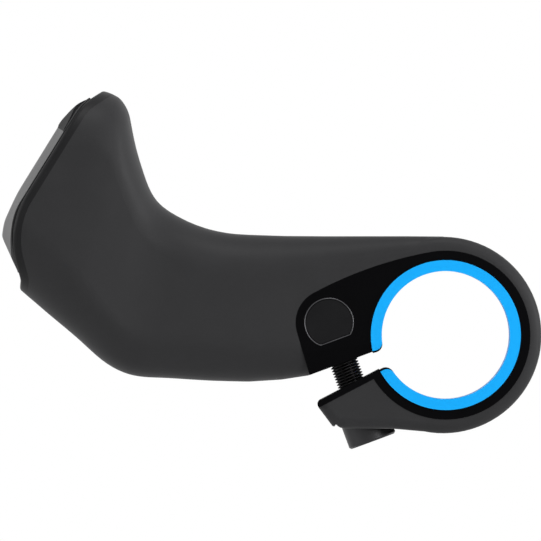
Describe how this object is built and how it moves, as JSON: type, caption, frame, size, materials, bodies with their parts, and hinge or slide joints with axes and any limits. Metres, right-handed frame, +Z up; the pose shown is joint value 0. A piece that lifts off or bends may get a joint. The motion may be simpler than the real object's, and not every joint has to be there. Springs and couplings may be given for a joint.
{
  "type": "bicycle bar end",
  "caption": "Short ergonomic bicycle bar end: a padded horn with a faceted end plate, held on a handlebar by a lined clamp ring with a screw and a barrel nut.",
  "frame": {"origin": "centre of the handlebar's bore, halfway along the clamp", "axes": "+Y along the handlebar, +Z up and -X towards the horn in the side view"},
  "size_m": [0.0936, 0.024, 0.0621],
  "materials": {
    "grip_shell": "matt, slightly grained",
    "clamp_core": "matt moulded",
    "clamp_liner": "satin moulded",
    "barrel_nut": "dark turned steel",
    "clamp_bolt": "dark turned steel",
    "bolt_washer": "dark steel",
    "end_cap": "dark gloss",
    "end_plate": "satin",
    "end_inlay": "semi gloss"
  },
  "bodies": {
    "bar_end": {"grip_shell": "grip_shell", "clamp_core": "clamp_core", "clamp_liner": "clamp_liner", "barrel_nut": "barrel_nut", "end_cap": "end_cap", "end_plate": "end_plate", "end_inlay": "end_inlay"},
    "washer": {"bolt_washer": "bolt_washer"},
    "screw": {"clamp_bolt": "clamp_bolt"}
  },
  "joints": [
    {"name": "screw_travel", "type": "slide", "parent": "bar_end", "child": "washer", "axis": [0.3469, 0, -0.9379], "range_m": [0, 0.006]},
    {"name": "screw_turn", "type": "hinge", "parent": "washer", "child": "screw", "pos_m": [-0.02025, 0, 0.00217], "axis": [0.3469, 0, -0.9379], "range_deg": [0, 4320]}
  ],
  "couplings": [
    {"joint": "screw_turn", "follows": "screw_travel", "rad_per_m": 12566}
  ]
}
